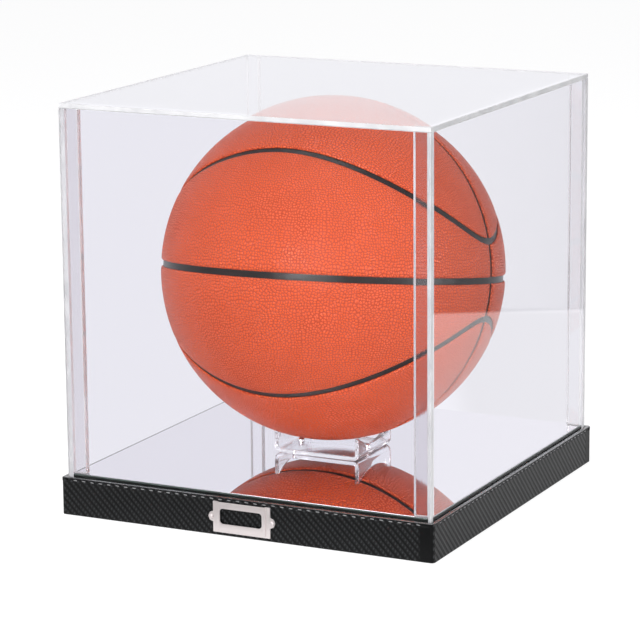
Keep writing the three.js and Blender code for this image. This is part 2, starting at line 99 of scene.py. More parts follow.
# Clear acrylic
ACRYLIC_IOR = 1.49
WATER_CLEAR = (0.985, 0.985, 0.995, 1)
SEEN_THROUGH = (0.92, 0.91, 0.96)  # the surroundings' tone through the panels
SHEET_EDGE = 0.25  # softened corners of the sheets

# The cradle and its screws
CRADLE_EDGE = 0.45
CRADLE_SHEET = 3.0
CRADLE_BEND = 1.5
CRADLE_TIP = 1.5
CRADLE_SAG = 7.5
SCREW_REACH = 25.5
SCREW_HOLE = 1.75
SCREW_HOLE_FROM = 25
SCREW_HOLE_TO = 36
SCREW_HEAD_RADIUS = 2.8
SCREW_HEAD_HEIGHT = 2.2
SCREW_RIM_HEIGHT = 0.3  # the upright part of the head, below its round crown
SCREW_SHANK_RADIUS = 1.45
SCREW_POINT = 0.35
SCREW_POINT_RADIUS = 0.25
SCREW_PITCH = 1.2
RECESS_DEPTH = 1.25
RECESS_TURNS_DEG = (25, 115)

# The camera, and how often a ray may bounce
CAMERA_AZIMUTH_DEG = 26.35
CAMERA_ELEVATION_DEG = 12.48
CAMERA_ROLL_DEG = -0.50
CAMERA_DISTANCE = 2.1143
CAMERA_TARGET = (-0.01012, 0.0, 0.1218)
CAMERA_LENS = 167.16
RAY_BOUNCES = 24


def on_scene(name, data):
    made = bpy.data.objects.new(name, data)
    bpy.context.scene.collection.objects.link(made)
    return made


def mesh_from(name, points, faces, sharp_deg=40):
    """A smooth-shaded closed mesh from points in millimetres, its faces turned outwards."""
    mesh = bpy.data.meshes.new(name)
    mesh.from_pydata([Vector(point) * MM for point in points], [], faces)
    tidy_mesh(mesh, sharp_deg)
    return mesh


def tidy_mesh(mesh, sharp_deg):
    work = bmesh.new()
    work.from_mesh(mesh)
    bmesh.ops.remove_doubles(work, verts=work.verts, dist=1e-7)
    bmesh.ops.recalc_face_normals(work, faces=work.faces)
    work.to_mesh(mesh)
    work.free()
    mesh.shade_smooth()
    mesh.set_sharp_from_angle(angle=math.radians(sharp_deg))


def add_piece(name, mesh, material, slot, body, *replaced):
    made = on_scene(name, mesh)
    mesh.materials.clear()
    mesh.materials.append(material)
    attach(made, body)
    if replaced:
        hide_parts(*replaced)


def loft(rings, closed=True):
    """Points and faces of a skin over rings with the same count, with both ends filled."""
    count = len(rings[0])
    points = [point for ring in rings for point in ring]
    faces = []
    for k in range(len(rings) - 1):
        for i in range(count):
            j = (i + 1) % count
            faces.append((k * count + i, k * count + j, (k + 1) * count + j, (k + 1) * count + i))
    if closed:
        last = (len(rings) - 1) * count
        faces.append(tuple(range(count)))
        faces.append(tuple(last + i for i in range(count)))
    return points, faces


def turned(profile, facets, wave=None):
    """A skin turned about Z from [radius, height] points. The wave bends the radius."""
    rings = []
    for radius, height in profile:
        ring = []
        for i in range(facets):
            turn = 2 * math.pi * i / facets
            reach = radius + (wave(turn, height) if wave and radius > 0 else 0)
            ring.append((reach * math.cos(turn), reach * math.sin(turn), height))
        rings.append(ring)
    return loft(rings, closed=False)


def turned_mesh(name, profile, facets, place, wave=None):
    points, faces = turned(profile, facets, wave)
    return mesh_from(name, moved(points, place), faces)


def arc(centre, radius, from_deg, to_deg, steps):
    angles = [math.radians(from_deg + (to_deg - from_deg) * i / steps) for i in range(steps + 1)]
    return [(centre[0] + radius * math.cos(a), centre[1] + radius * math.sin(a)) for a in angles]


def dome(radius, base, top):
    """A round head's profile, from its rim to its crown."""
    turns = [math.radians(90 * i / DOME_STEPS) for i in range(DOME_STEPS)]
    rise = top - base
    return [(radius * math.cos(a), base + rise * math.sin(a)) for a in turns] + [(0.0, top)]


def turned_about(axis, degrees):
    return Matrix.Rotation(math.radians(degrees), 4, axis)


def moved(points, place):
    return [place @ Vector(point) for point in points]


def carved(mesh, cutters):
    """The mesh less the cutting meshes."""
    body = on_scene("uncarved", mesh)
    tools = []
    for cutter in cutters:
        tool = on_scene("cutter", cutter)
        cut = body.modifiers.new("cut", "BOOLEAN")
        cut.operation = "DIFFERENCE"
        cut.solver = "EXACT"
        cut.object = tool
        tools.append(tool)
    result = evaluated(body)
    for tool in tools:
        bpy.data.objects.remove(tool)
    return result


def evaluated(body):
    """The mesh of an object with its modifiers applied. The object goes."""
    bpy.context.view_layer.update()
    graph = bpy.context.evaluated_depsgraph_get()
    mesh = bpy.data.meshes.new_from_object(body.evaluated_get(graph))
    bpy.data.objects.remove(body)
    return mesh


# Node trees


def add_node(tree, kind, inputs=None, **settings):
    made = tree.nodes.new(kind)
    for name, value in settings.items():
        setattr(made, name, value)
    for key, value in (inputs or {}).items():
        if isinstance(value, bpy.types.NodeSocket):
            tree.links.new(value, made.inputs[key])
        else:
            made.inputs[key].default_value = value
    return made


def wired(tree, kind, inputs=None, **settings):
    """A node's first output."""
    return add_node(tree, kind, inputs, **settings).outputs[0]


def calc(tree, operation, *values):
    return wired(tree, "ShaderNodeMath", dict(enumerate(values)), operation=operation)


def product(tree, first, *others):
    for other in others:
        first = calc(tree, "MULTIPLY", first, other)
    return first


def split(tree, vector):
    return add_node(tree, "ShaderNodeSeparateXYZ", {0: vector}).outputs


def between(tree, value, low, high, to_low=0.0, to_high=1.0):
    """The value from low to high, eased and carried over to the range from to_low to to_high."""
    inputs = dict(enumerate((value, low, high, to_low, to_high)))
    return wired(tree, "ShaderNodeMapRange", inputs, interpolation_type="SMOOTHSTEP")


def opaque(colour):
    return (*colour, 1) if isinstance(colour, tuple) else colour


def mix_colour(tree, factor, first, second):
    inputs = {0: factor, 6: opaque(first), 7: opaque(second)}
    return add_node(tree, "ShaderNodeMix", inputs, data_type="RGBA").outputs[2]


def noise(tree, place, scale, detail=3.0, roughness=0.5):
    inputs = {"Vector": place, "Scale": scale, "Detail": detail, "Roughness": roughness}
    return add_node(tree, "ShaderNodeTexNoise", inputs).outputs["Fac"]


def stretched(tree, place, scale):
    return wired(tree, "ShaderNodeMapping", {"Vector": place, "Scale": scale})


SOCKET_KINDS = {"Place": "NodeSocketVector", "Light": "NodeSocketColor",
                "Deep": "NodeSocketColor", "Colour": "NodeSocketColor"}


def shader_group(name, inputs, outputs):
    """An empty node group with its inputs and outputs. Most of them are plain values."""
    tree = bpy.data.node_groups.new(name, "ShaderNodeTree")
    for in_out, labels in (("INPUT", inputs), ("OUTPUT", outputs)):
        for label in labels:
            kind = SOCKET_KINDS.get(label, "NodeSocketFloat")
            tree.interface.new_socket(label, in_out=in_out, socket_type=kind)
    given = tree.nodes.new("NodeGroupInput").outputs
    return tree, given, tree.nodes.new("NodeGroupOutput").inputs


def group_result(tree, result, **values):
    """The group's tree, its outputs wired to the values."""
    for label, value in values.items():
        tree.links.new(value, result[label])
    return tree


def place_group(tree, group, **inputs):
    inputs = {label: opaque(value) for label, value in inputs.items()}
    return add_node(tree, "ShaderNodeGroup", inputs, node_tree=group).outputs


def make_twill_group():
    """A two-over-one twill: rows of short floats that step down to the right."""
    inputs = ("Across", "Up", "Cell")
    outputs = ("Height", "Crest", "Row")
    tree, given, result = shader_group("Twill weave", inputs, outputs)
    across = calc(tree, "DIVIDE", given["Across"], given["Cell"])
    up = calc(tree, "DIVIDE", given["Up"], given["Cell"])
    repeat = 3

    def float_height(along, thread, start, length):
        step = calc(tree, "ADD", along, calc(tree, "FLOOR", thread))
        phase = calc(tree, "FRACT", calc(tree, "DIVIDE", step, repeat))
        travel = calc(tree, "SUBTRACT", product(tree, phase, repeat), start)
        crown = calc(tree, "SINE", product(tree, travel, math.pi / length))
        side = calc(tree, "SUBTRACT", calc(tree, "FRACT", thread), 0.5)
        round_off = product(tree, side, side, 2.6)
        shaped = calc(tree, "SUBTRACT", crown, round_off)
        inside = calc(tree, "GREATER_THAN", travel, 0.0)
        before = calc(tree, "LESS_THAN", travel, float(length))
        return product(tree, shaped, inside, before)

    warp = float_height(up, across, 0, 2)
    weft = float_height(across, up, 2, 1)
    height = calc(tree, "MAXIMUM", warp, product(tree, weft, 0.7))
    slant = calc(tree, "FRACT", calc(tree, "DIVIDE", calc(tree, "ADD", across, up), repeat))
    off_middle = calc(tree, "ABSOLUTE", calc(tree, "SUBTRACT", slant, 0.5))
    row = between(tree, off_middle, 0.14, 0.40, 1.0, 0.0)
    height = calc(tree, "ADD", height, product(tree, row, 1.2))
    crest = between(tree, warp, 0.62, 0.95)
    return group_result(tree, result, Row=row, Height=height, Crest=crest)


def make_ball_map_group():
    """Flat coordinates on the ball, one map for the bands and one for the caps, in units of its
    radius. Their borders lie under the seams."""
    tree, given, result = shader_group("Ball map", ("Place",), ("Across", "Up"))
    inputs = {0: given["Place"], 1: (0, 0, BALL_CENTRE * MM)}
    middle = wired(tree, "ShaderNodeVectorMath", inputs, operation="SUBTRACT")
    turn = (math.radians(-BALL_TILT_DEG), math.radians(-BALL_ROLL_DEG), 0)
    level = wired(tree, "ShaderNodeMapping", {"Vector": middle, "Rotation": turn})
    way = wired(tree, "ShaderNodeVectorMath", {0: level}, operation="NORMALIZE")
    x, y, z = split(tree, way)
    rise = calc(tree, "ABSOLUTE", z)
    girth = calc(tree, "SQRT", calc(tree, "SUBTRACT", 1.0, product(tree, rise, rise)))
    side = calc(tree, "DIVIDE", y, girth)
    bow = calc(tree, "SQRT", calc(tree, "ADD", product(tree, side, side), SEAM_BLEND ** 2))
    climb = math.radians(SEAM_LATITUDE_RISE_DEG) / (math.hypot(1, SEAM_BLEND) - SEAM_BLEND)
    seam = calc(tree, "MULTIPLY_ADD", calc(tree, "SUBTRACT", bow, SEAM_BLEND), climb,
                math.radians(SEAM_LOW_LATITUDE_DEG))
    in_cap = calc(tree, "GREATER_THAN", calc(tree, "ARCSINE", rise), seam)
    ratio = calc(tree, "DIVIDE", calc(tree, "ADD", 1.0, rise), calc(tree, "SUBTRACT", 1.0001, rise))
    band_up = calc(tree, "LOGARITHM", ratio, math.e ** 2)
    spread = calc(tree, "DIVIDE", 1.7, calc(tree, "ADD", 1.0, rise))
    signs = calc(tree, "MULTIPLY_ADD", calc(tree, "SIGN", z), 2.3, calc(tree, "SIGN", y))
    for label, on_band, on_cap in (("Across", calc(tree, "ARCTAN2", y, x), x), ("Up", band_up, y)):
        on_cap = product(tree, on_cap, spread)
        change = calc(tree, "SUBTRACT", on_cap, on_band)
        chosen = calc(tree, "MULTIPLY_ADD", change, in_cap, on_band)
        tree.links.new(calc(tree, "ADD", chosen, signs), result[label])
    return tree


def make_pebble_group():
    """Round pebbles with soft valleys, and a slow change of tone over the hide. The colour follows
    the crowns: a painted highlight on them and a painted shade in the valleys.
    """
    inputs = ("Place", "Across", "Up", "Pebbles", "Light", "Deep")
    outputs = ("Colour", "Height", "Polish")
    tree, given, result = shader_group("Pebble grain", inputs, outputs)
    spot = wired(tree, "ShaderNodeCombineXYZ", {
        0: product(tree, given["Across"], given["Pebbles"]),
        1: product(tree, given["Up"], given["Pebbles"]),
    })
    sway = add_node(tree, "ShaderNodeTexNoise", {"Vector": spot, "Scale": 0.16, "Detail": 1.0})
    inputs = {0: sway.outputs["Color"], 1: (2.2, 2.2, 2.2), 2: spot}
    bent = wired(tree, "ShaderNodeVectorMath", inputs, operation="MULTIPLY_ADD")
    inputs = {"Vector": bent, "Scale": 1.0, "Randomness": 0.72}
    cells, walls = (add_node(tree, "ShaderNodeTexVoronoi", inputs, voronoi_dimensions="2D",
                             feature=feature) for feature in ("F1", "DISTANCE_TO_EDGE"))
    core = between(tree, cells.outputs["Distance"], 0.16, 0.46, 1.0, 0.0)
    swell = between(tree, walls.outputs["Distance"], 0.0, 0.26)
    crown = calc(tree, "MULTIPLY_ADD", swell, 0.55, product(tree, core, 0.45))
    fine = noise(tree, given["Place"], 2600.0, 2.0)
    height = calc(tree, "ADD", crown, product(tree, fine, 0.03))
    slow = noise(tree, given["Place"], 22.0, 3.0)
    # Painted highlight and shade: the tone is lighter on the pebbles' crowns and darker in their
    # valleys.
    tone = product(tree, crown, between(tree, slow, 0.2, 0.8, 0.80, 1.0))
    colour = mix_colour(tree, tone, given["Deep"], given["Light"])
    polish = product(tree, slow, crown)
    return group_result(tree, result, Colour=colour, Height=height, Polish=polish)


def make_wear_group():
    """Fine handling marks: soft blotches and sparse specks, as one mask."""
    inputs = ("Place", "Blotches", "Specks")
    tree, given, result = shader_group("Handling marks", inputs, ("Marks",))
    soft = noise(tree, given["Place"], given["Blotches"], 4.0, 0.6)
    fine = noise(tree, given["Place"], given["Specks"], 1.0)
    specks = between(tree, fine, 0.68, 0.8)
    marks = calc(tree, "ADD", between(tree, soft, 0.35, 0.75, 0.0, 0.8), specks)
    return group_result(tree, result, Marks=calc(tree, "MINIMUM", marks, 1.0))


def make_fibre_group():
    """Short pressed fibres, for the boards and the felt."""
    inputs = ("Place", "Fineness", "Light", "Deep")
    tree, given, result = shader_group("Pressed fibres", inputs, ("Colour", "Height"))
    first = noise(tree, stretched(tree, given["Place"], (1, 0.25, 1)), given["Fineness"], 5.0, 0.7)
    second = noise(tree, stretched(tree, given["Place"], (0.25, 1, 1)), given["Fineness"], 5.0, 0.7)
    mat = product(tree, calc(tree, "ADD", first, second), 0.5)
    tone = between(tree, mat, 0.35, 0.65)
    colour = mix_colour(tree, tone, given["Deep"], given["Light"])
    return group_result(tree, result, Colour=colour, Height=mat)


twill_group = make_twill_group()
ball_map_group = make_ball_map_group()
pebble_group = make_pebble_group()
wear_group = make_wear_group()
fibre_group = make_fibre_group()


def new_material(name):
    """A bare material with its tree and the place on the object."""
    made = bpy.data.materials.new(name)
    made.use_nodes = True
    tree = made.node_tree
    tree.nodes.clear()
    return made, tree, add_node(tree, "ShaderNodeTexCoord").outputs["Object"]


def handling_marks(tree, place, blotches, specks):
    return place_group(tree, wear_group, Place=place, Blotches=blotches, Specks=specks)["Marks"]


def bump(tree, height, strength, distance):
    inputs = {"Height": height, "Strength": strength, "Distance": distance}
    return wired(tree, "ShaderNodeBump", inputs)


def shaded(made, shader):
    add_node(made.node_tree, "ShaderNodeOutputMaterial", {"Surface": shader})
    return made


def surface(made, inputs):
    return shaded(made, wired(made.node_tree, "ShaderNodeBsdfPrincipled", inputs))


def mix_shaders(tree, factor, first, second):
    return wired(tree, "ShaderNodeMixShader", {0: factor, 1: first, 2: second})


def clear_material(name, tint, marks, streaks, flat):
    """Clear acrylic with light handling marks, and fine upright streaks where they are asked for.
    Lamps and soft light pass straight through it. A flat sheet that is seen through another one
    only bends what is behind it."""
    made, tree, place = new_material(name)
    handled = handling_marks(tree, place, 18.0, 900.0)
    inputs = {
        "Base Color": tint,
        "Transmission Weight": 1.0,
        "IOR": ACRYLIC_IOR,
        "Roughness": product(tree, handled, marks),
    }
    if streaks:
        lines = noise(tree, stretched(tree, place, (900, 900, 9)), 1.0, 3.0, 0.6)
        inputs["Normal"] = bump(tree, lines, streaks, 0.0001)
    seen = wired(tree, "ShaderNodeBsdfPrincipled", inputs)
    ray = add_node(tree, "ShaderNodeLightPath").outputs
    if flat:
        inputs = {"Color": tint, "IOR": ACRYLIC_IOR}
        bend = wired(tree, "ShaderNodeBsdfRefraction", inputs)
        far = calc(tree, "GREATER_THAN", ray["Transmission Depth"], 1.5)
        seen = mix_shaders(tree, far, seen, bend)
    lit = calc(tree, "MAXIMUM", ray["Is Shadow Ray"], ray["Is Diffuse Ray"])
    inputs = {"Color": (0.97, 0.97, 0.975, 1)}
    through = wired(tree, "ShaderNodeBsdfTransparent", inputs)
    return shaded(made, mix_shaders(tree, lit, seen, through))


def edge_material(name, deep, light, scale):
    """A flame-polished edge or a glued face, pale with fine lines along it."""
    made, tree, place = new_material(name)
    lines = noise(tree, stretched(tree, place, scale), 1.0, 3.0)
    tone = between(tree, lines, 0.3, 0.7)
    return surface(made, {
        "Base Color": mix_colour(tree, tone, deep, light),
        "Roughness": 0.25,
        "IOR": ACRYLIC_IOR,
        "Normal": bump(tree, lines, 0.2, 0.0001),
    })


def mirror_material():
    """Silvered glass with a dark green-grey edge."""
    made, tree, place = new_material("mirror floor")
    normal = add_node(tree, "ShaderNodeNewGeometry").outputs["True Normal"]
    face = between(tree, split(tree, normal)[2], 0.4, 0.9)
    height = split(tree, place)[2]
    upper = between(tree, height, (MIRROR_LIT_EDGE - 0.2) * MM, (MIRROR_LIT_EDGE + 0.2) * MM)
    edge = mix_colour(tree, upper, (0.008, 0.011, 0.010), (0.10, 0.13, 0.115))
    handled = handling_marks(tree, place, 14.0, 700.0)
    clean = product(tree, handled, 0.03)
    return surface(made, {
        "Base Color": mix_colour(tree, face, edge, (0.90, 0.89, 0.915)),
        "Metallic": between(tree, face, 0.0, 1.0, 0.6, 1.0),
        "Roughness": between(tree, face, 0.0, 1.0, 0.35, clean),
    })


def leatherette_material():
    """Black carbon-look leatherette: twill rows, a soft grain, a plain fold at each corner, and
    painted glints that lighten the base colour on the floats' crests.
    """
    made, tree, place = new_material("carbon-look leatherette")
    normal = add_node(tree, "ShaderNodeNewGeometry").outputs["True Normal"]
    facing_up = split(tree, normal)[2]
    x, y, z = split(tree, place)
    x_reach, y_reach = calc(tree, "ABSOLUTE", x), calc(tree, "ABSOLUTE", y)
    on_front = calc(tree, "GREATER_THAN", y_reach, x_reach)
    front_run = product(tree, x, calc(tree, "SIGN", y), -1.0)
    side_run = product(tree, y, calc(tree, "SIGN", x))
    front_part = product(tree, front_run, on_front)
    side_part = product(tree, side_run, calc(tree, "SUBTRACT", 1.0, on_front))
    across = calc(tree, "ADD", front_part, side_part)
    inward = calc(tree, "SUBTRACT", BASE_HALF * MM, calc(tree, "MAXIMUM", x_reach, y_reach))
    up = calc(tree, "ADD", z, inward)
    weave = place_group(tree, twill_group, Across=across, Up=up, Cell=TWILL_CELL * MM)
    fold = between(tree, across, CORNER_FOLD[0] * MM, CORNER_FOLD[1] * MM)
    plain = calc(tree, "SUBTRACT", 1.0, fold)
    grain = noise(tree, place, 1500.0, 4.0, 0.6)
    creases = noise(tree, stretched(tree, place, (260, 260, 60)), 1.0, 3.0, 0.6)
    handled = handling_marks(tree, place, 30.0, 1300.0)
    upright = between(tree, facing_up, 0.3, 0.7, 1.0, 0.0)
    woven = product(tree, weave["Height"], plain, upright)
    height = calc(tree, "ADD", woven, product(tree, grain, 0.30))
    height = calc(tree, "ADD", height, product(tree, creases, fold, 2.4))
    row = product(tree, weave["Row"], plain)
    rows = mix_colour(tree, row, (0.0014, 0.0016, 0.0018), (0.0066, 0.0070, 0.0074))
    # Painted highlight: the base colour is lightened on the crests of the floats, as glints.
    painted_glint = product(tree, weave["Crest"], row)
    with_painted_glints = mix_colour(tree, painted_glint, rows, (0.030, 0.032, 0.034))
    colour = mix_colour(tree, product(tree, handled, 0.12), with_painted_glints, (0.018, 0.018, 0.019))
    turned_in = between(tree, facing_up, 0.55, 0.85)
    dull = between(tree, row, 0.0, 1.0, 0.50, 0.38)
    return surface(made, {
        "Base Color": colour,
        "Roughness": product(tree, dull, between(tree, grain, 0.2, 0.8, 0.9, 1.15)),
        "Specular IOR Level": 0.17,
        "Coat Weight": turned_in,
        "Coat Roughness": 0.05,
        "Coat IOR": 2.2,
        "Normal": bump(tree, height, 0.65, 0.0003),
    })


def ball_leather_material():
    """Orange-brown pebbled leather, with a painted highlight on the pebbles' crowns and a painted
    shade in their valleys.
    """
    made, tree, place = new_material("pebbled ball leather")
    spot = place_group(tree, ball_map_group, Place=place)
    # Light is the crowns' colour with a painted highlight, Deep the valleys' colour with a painted
    # shade.
    grain = place_group(tree, pebble_group, Place=place, Across=spot["Across"], Up=spot["Up"],
                        Pebbles=BALL_RADIUS / PEBBLE, Light=(0.82, 0.128, 0.035),
                        Deep=(0.40, 0.033, 0.0060))
    return surface(made, {
        "Base Color": grain["Colour"],
        "Roughness": between(tree, grain["Polish"], 0.1, 0.5, 0.55, 0.22),
        "Specular IOR Level": 0.45,
        "Normal": bump(tree, grain["Height"], 0.9, 0.00048),
    })


def rubber_material():
    made, tree, place = new_material("seam rubber")
    handled = handling_marks(tree, place, 40.0, 1500.0)
    return surface(made, {
        "Base Color": mix_colour(tree, handled, (0.012, 0.010, 0.010), (0.022, 0.018, 0.018)),
        "Roughness": between(tree, handled, 0.0, 1.0, 0.28, 0.40),
        "Specular IOR Level": 0.28,
        "Normal": bump(tree, noise(tree, place, 1800.0), 0.25, 0.0002),
    })


def metal_material(name, colour, metallic, roughness, streaks):
    """Plated metal with fine polishing streaks along X."""
    made, tree, place = new_material(name)
    lines = noise(tree, stretched(tree, place, (60, 1800, 1800)), 1.0, 3.0, 0.6)
    handled = handling_marks(tree, place, 60.0, 1400.0)
    worn = tuple(0.86 * part for part in colour)
    return surface(made, {
        "Base Color": mix_colour(tree, product(tree, handled, 0.5), colour, worn),
        "Metallic": metallic,
        "Roughness": between(tree, lines, 0.25, 0.75, roughness * 0.8, roughness * 1.25),
        "Normal": bump(tree, lines, streaks, 0.00005),
    })


def board_material():
    """Raw fibreboard, painted black where the cover's groove shows it, as painted shade in the
    groove.
    """
    made, tree, place = new_material("raw fibreboard")
    fibres = place_group(tree, fibre_group, Place=place, Fineness=420.0,
                         Light=(0.40, 0.27, 0.15), Deep=(0.22, 0.13, 0.065))
    x, y, z = split(tree, place)
    reach = calc(tree, "MAXIMUM", calc(tree, "ABSOLUTE", x), calc(tree, "ABSOLUTE", y))
    outer = calc(tree, "GREATER_THAN", reach, GROOVE_SHADE_FROM * MM)
    # Painted shade: the rails turn near black where the groove shows them.
    groove_shade = product(tree, outer, calc(tree, "GREATER_THAN", z, GROOVE_SHADE_ABOVE * MM))
    return surface(made, {
        "Base Color": mix_colour(tree, groove_shade, fibres["Colour"], (0.004, 0.004, 0.004)),
        "Roughness": 0.85,
        "Normal": bump(tree, fibres["Height"], 0.4, 0.0003),
    })


def felt_material():
    made, tree, place = new_material("black felt")
    fibres = place_group(tree, fibre_group, Place=place, Fineness=900.0,
                         Light=(0.022, 0.022, 0.024), Deep=(0.006, 0.006, 0.007))
    return surface(made, {
        "Base Color": fibres["Colour"],
        "Roughness": 0.95,
        "Sheen Weight": 0.4,
        "Sheen Roughness": 0.5,
        "Normal": bump(tree, fibres["Height"], 0.8, 0.0006),
    })


def thread_material():
    made, tree, place = new_material("hem thread")
    twist = noise(tree, stretched(tree, place, (900, 900, 2600)), 1.0, 2.0)
    return surface(made, {
        "Base Color": mix_colour(tree, twist, (0.14, 0.14, 0.145), (0.32, 0.32, 0.325)),
        "Roughness": 0.40,
        "Normal": bump(tree, twist, 0.6, 0.0001),
    })


panel_acrylic = clear_material("clear acrylic sheet", WATER_CLEAR, 0.02, 0, True)
polished_acrylic = clear_material("polished acrylic", WATER_CLEAR, 0.03, 0, False)
rod_acrylic = clear_material("clear acrylic rod", (0.85, 0.83, 0.85, 1), 0.10, 0.25, False)
polished_edge = edge_material("polished acrylic edge", (0.50, 0.50, 0.515), (0.60, 0.60, 0.61),
                              (70, 70, 70))
glued_face = edge_material("glued acrylic face", (0.70, 0.69, 0.72), (0.84, 0.84, 0.87),
                           (700, 700, 12))
mirror_floor = mirror_material()
leatherette = leatherette_material()
ball_leather = ball_leather_material()
rubber = rubber_material()
nickel = metal_material("satin nickel", (0.75, 0.69, 0.685), 0.65, 0.34, 0.2)
bright_steel = metal_material("bright screw steel", (0.84, 0.84, 0.85), 1.0, 0.14, 0.15)
board = board_material()
felt = felt_material()
thread = thread_material()


def dress_cad_nodes():
    finishes = {
        "cover_": panel_acrylic,
        "corner_rod_": rod_acrylic,
        "mirror_": mirror_floor,
        "wrap_": leatherette,
        "rail_": board,
        "bottom_board": board,
        "platform_board": board,
        "felt_": felt,
        "cradle_screw_": bright_steel,
        "cradle": polished_acrylic,
        "label_": nickel,
        "panel_": ball_leather,
        "ball_": rubber,
    }
    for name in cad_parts:
        finish = next(value for key, value in finishes.items() if name.startswith(key))
        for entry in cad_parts[name].material_slots:
            entry.material = finish


# The ball. In its own frame two great seams lie at Z = 0 and Y = 0, and two curved seams
# run round the Z poles.


def ball_place():
    turn = turned_about("X", BALL_TILT_DEG) @ turned_about("Y", BALL_ROLL_DEG)
    return Matrix.Translation((0, 0, BALL_CENTRE)) @ turn


def curved_seam_latitude(longitude):
    def blend(sine):
        return math.hypot(sine, SEAM_BLEND) - SEAM_BLEND

    rise = math.radians(SEAM_LATITUDE_RISE_DEG) * blend(math.sin(longitude)) / blend(1)
    return math.radians(SEAM_LOW_LATITUDE_DEG) + rise


def direction(latitude, longitude):
    across = math.cos(latitude)
    return across * math.cos(longitude), across * math.sin(longitude), math.sin(latitude)


def seam_distance(way):
    """The angle from a direction to the curved seam, positive on the pole's side."""
    step = 1e-4
    latitude = math.asin(way[2])
    longitude = math.atan2(way[1], way[0])
    climb = curved_seam_latitude(longitude + step) - curved_seam_latitude(longitude - step)
    slope = climb / (2 * step)
    steep = math.hypot(1, slope / math.cos(latitude))
    return (latitude - curved_seam_latitude(longitude)) / steep


def crossing(low, high, falling):
    """Where a falling function crosses zero."""
    for _ in range(26):
        middle = (low + high) / 2
        if falling(middle) > 0:
            low = middle
        else:
            high = middle
    return (low + high) / 2


def band_directions(columns, rows, half):
    """The panel between the level seam and a curved seam, as a grid of directions."""
    grid = []
    for j in range(rows + 1):
        row = []
        for i in range(columns + 1):
            longitude = math.pi * i / columns
            latitude = 0.0
            for _ in range(4):
                here = longitude
                edge = crossing(0, math.pi / 2,
                                lambda v: -seam_distance(direction(v, here)) - half)
                latitude = half + (edge - half) * j / rows
                inset = math.asin(min(math.sin(half) / math.cos(latitude), 1))
                longitude = inset + (math.pi - 2 * inset) * i / columns
            row.append(direction(latitude, longitude))
        grid.append(row)
    return grid


def cap_directions(columns, rows, half):
    """The panel between the upright seam and a curved seam, as a grid of directions."""

    def place(swing, rise):
        return (math.cos(rise) * math.sin(swing), math.sin(rise), math.cos(rise) * math.cos(swing))

    end_rise = CAP_END_SHARE * half
    reach = crossing(0, math.pi / 2, lambda swing: seam_distance(place(swing, end_rise)) - half)
    swings = [reach * math.sin(math.pi * (i / columns - 0.5)) for i in range(columns + 1)]
    rises = [crossing(half, math.pi / 2, lambda rise: seam_distance(place(swing, rise)) - half)
             for swing in swings]
    return [[place(swing, half + (rise - half) * j / rows) for swing, rise in zip(swings, rises)]
            for j in range(rows + 1)]


def rim_order(rows, columns):
    """The grid's outer points in order round it."""
    bottom = [(0, i) for i in range(columns)]
    right = [(j, columns) for j in range(rows)]
    top = [(rows, i) for i in range(columns, 0, -1)]
    left = [(j, 0) for j in range(rows, 0, -1)]
    return bottom + right + top + left


def panel_layers(kind, columns, rows):
    """Grids of directions with their radius, from the panel's face over its rolled edge."""
    layers = []
    for turn_deg in (0, 25, 50, 75, 90):
        turn = math.radians(turn_deg)
        half = (SEAM_HALF_WIDTH + EDGE_ROLL * (1 - math.sin(turn))) / BALL_RADIUS
        radius = BALL_RADIUS - EDGE_DROP * (1 - math.cos(turn))
        layers.append((kind(columns, rows, half), radius))
    layers.append((layers[-1][0], BALL_RADIUS - LEATHER_THICKNESS))
    return layers


def panel_mesh(name, layers, flips, place):
    rows, columns = len(layers[0][0]) - 1, len(layers[0][0][0]) - 1
    rim = rim_order(rows, columns)
    points, rings = [], []

    def lay(grid, radius, spots):
        first = len(points)
        for j, i in spots:
            x, y, z = grid[j][i]
            points.append(place @ (Vector((x, y * flips[0], z * flips[1])) * radius))
        return first

    every = [(j, i) for j in range(rows + 1) for i in range(columns + 1)]

    def at(first, j, i):
        return first + j * (columns + 1) + i

    def sheet(first):
        return [(at(first, j, i), at(first, j, i + 1), at(first, j + 1, i + 1), at(first, j + 1, i))
                for j in range(rows) for i in range(columns)]

    face = lay(*layers[0], every)
    rings.append([at(face, j, i) for j, i in rim])
    for grid, radius in layers[1:-1]:
        first = lay(grid, radius, rim)
        rings.append([first + k for k in range(len(rim))])
    back = lay(*layers[-1], every)
    rings.append([at(back, j, i) for j, i in rim])
    faces = sheet(face) + [quad[::-1] for quad in sheet(back)]
    for outer, inner in zip(rings, rings[1:]):
        for k in range(len(rim)):
            after = (k + 1) % len(rim)
            faces.append((outer[k], outer[after], inner[after], inner[k]))
    return mesh_from(name, points, faces, 50)


def make_ball():
    place = ball_place()
    kinds = {
        "band": panel_layers(band_directions, *BAND_GRID),
        "cap": panel_layers(cap_directions, *CAP_GRID),
    }
    for level, flip_z in (("upper", 1), ("lower", -1)):
        for side, flip_y in (("back", 1), ("front", -1)):
            for kind, layers in kinds.items():
                panel = f"{level}_{kind}_{side}"
                name = f"leather_{panel}"
                mesh = panel_mesh(name, layers, (flip_y, flip_z), place)
                add_piece(name, mesh, ball_leather, "ball_leather", "ball", f"panel_{panel}")
    make_carcass(place)
    make_valve(place)


def make_carcass(place):
    """The rubber shell under the leather, open for the valve."""
    hole = VALVE_RADIUS + VALVE_CLEARANCE
    steps = 96

    def half_round(radius):
        start = 90 - math.degrees(math.asin(hole / radius))
        return [(max(r, 0.0), h) for r, h in arc((0, 0), radius, start, -90, steps)]

    profile = half_round(SEAM_FLOOR) + half_round(SEAM_FLOOR - CARCASS_WALL)[::-1]
    profile.append(profile[0])
    upright = place @ turned_about("X", -90)
    mesh = turned_mesh("seam_rubber_shell", profile, 128, upright)
    add_piece("seam_rubber_shell", mesh, rubber, "ball_rubber", "ball", "ball_carcass")


